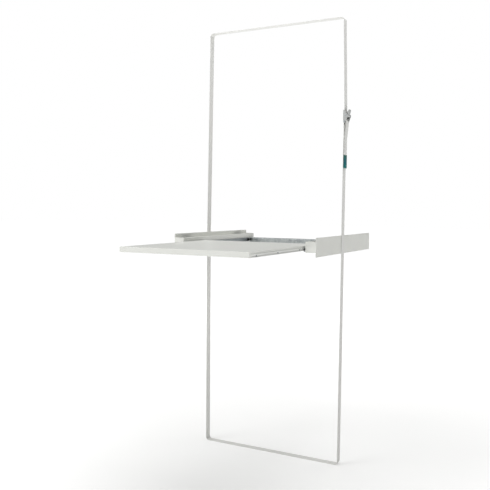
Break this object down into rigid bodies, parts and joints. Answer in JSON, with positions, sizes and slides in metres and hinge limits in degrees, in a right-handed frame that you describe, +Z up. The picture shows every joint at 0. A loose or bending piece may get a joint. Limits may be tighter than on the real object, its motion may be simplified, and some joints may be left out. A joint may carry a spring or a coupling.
{
  "type": "appliance stacking kit",
  "caption": "White frame that stacks one appliance on another, with a pull-out shelf on ball-bearing slides and a webbing strap with a cam buckle.",
  "frame": {"origin": "middle of the frame's underside, on the tie bar's lower face", "axes": "+Z up, -Y towards the front where the shelf pulls out, +X to the right seen from the front"},
  "size_m": [0.6239, 1.011, 1.7436],
  "materials": {
    "white_abs": "satin",
    "grey_rubber": "matte",
    "galvanised_steel": "spangled",
    "zinc_plated_slide": "satin",
    "ball_steel": "polished",
    "zinc_plated_screw": "satin",
    "black_nylon": "satin",
    "white_powder_coat": "satin",
    "white_webbing": "woven",
    "teal_label": "woven",
    "diecast_zinc": "satin",
    "pin_steel": "satin"
  },
  "bodies": {
    "frame": {"left_side_beam": "white_abs", "right_side_beam": "white_abs", "left_front_cap": "white_abs", "right_front_cap": "white_abs", "left_rear_cap": "white_abs", "right_rear_cap": "white_abs", "foot_pads": "grey_rubber", "base_pads": "grey_rubber", "rear_crossbar": "galvanised_steel", "middle_tie_bar": "galvanised_steel", "rear_crossbar_screws": "zinc_plated_screw", "tie_bar_screws": "zinc_plated_screw", "left_slide_outer_member": "zinc_plated_slide", "right_slide_outer_member": "zinc_plated_slide", "left_slide_rear_bumper": "black_nylon", "right_slide_rear_bumper": "black_nylon", "left_slide_outer_screws": "zinc_plated_screw", "right_slide_outer_screws": "zinc_plated_screw", "strap_upper_run": "white_webbing", "strap_lower_run": "white_webbing", "strap_left_run": "white_webbing", "strap_top_run": "white_webbing", "strap_bottom_run": "white_webbing", "strap_sewn_loop": "white_webbing", "strap_tail": "white_webbing", "strap_label": "teal_label", "buckle_frame": "diecast_zinc", "buckle_anchor_bar": "pin_steel", "cam_pin": "pin_steel", "cam_spring": "pin_steel"},
    "shelf": {"shelf_tray": "white_powder_coat", "shelf_front_trim": "white_abs", "shelf_trim_screws": "zinc_plated_screw", "shelf_stiffeners": "galvanised_steel", "left_slide_inner_member": "white_powder_coat", "right_slide_inner_member": "white_powder_coat", "left_slide_inner_screws": "zinc_plated_screw", "right_slide_inner_screws": "zinc_plated_screw"},
    "left_cage": {"left_ball_cage": "zinc_plated_slide", "left_bearing_balls": "ball_steel"},
    "right_cage": {"right_ball_cage": "zinc_plated_slide", "right_bearing_balls": "ball_steel"},
    "cam_lever": {"cam_lever": "diecast_zinc"}
  },
  "joints": [
    {"name": "shelf_slide", "type": "slide", "parent": "frame", "child": "shelf", "axis": [0, 1, 0], "range_m": [0, 0.411]},
    {"name": "left_cage_slide", "type": "slide", "parent": "frame", "child": "left_cage", "axis": [0, 1, 0], "range_m": [0, 0.2055]},
    {"name": "right_cage_slide", "type": "slide", "parent": "frame", "child": "right_cage", "axis": [0, 1, 0], "range_m": [0, 0.2055]},
    {"name": "cam_lever_hinge", "type": "hinge", "parent": "frame", "child": "cam_lever", "pos_m": [0.30943, -0.011, 0.52], "axis": [0, -1, 0], "range_deg": [0, 30], "stiffness_Nm_per_rad": 0.03, "springref_deg": -28.65}
  ],
  "couplings": [
    {"joint": "left_cage_slide", "follows": "shelf_slide", "ratio": 0.5},
    {"joint": "right_cage_slide", "follows": "shelf_slide", "ratio": 0.5}
  ]
}
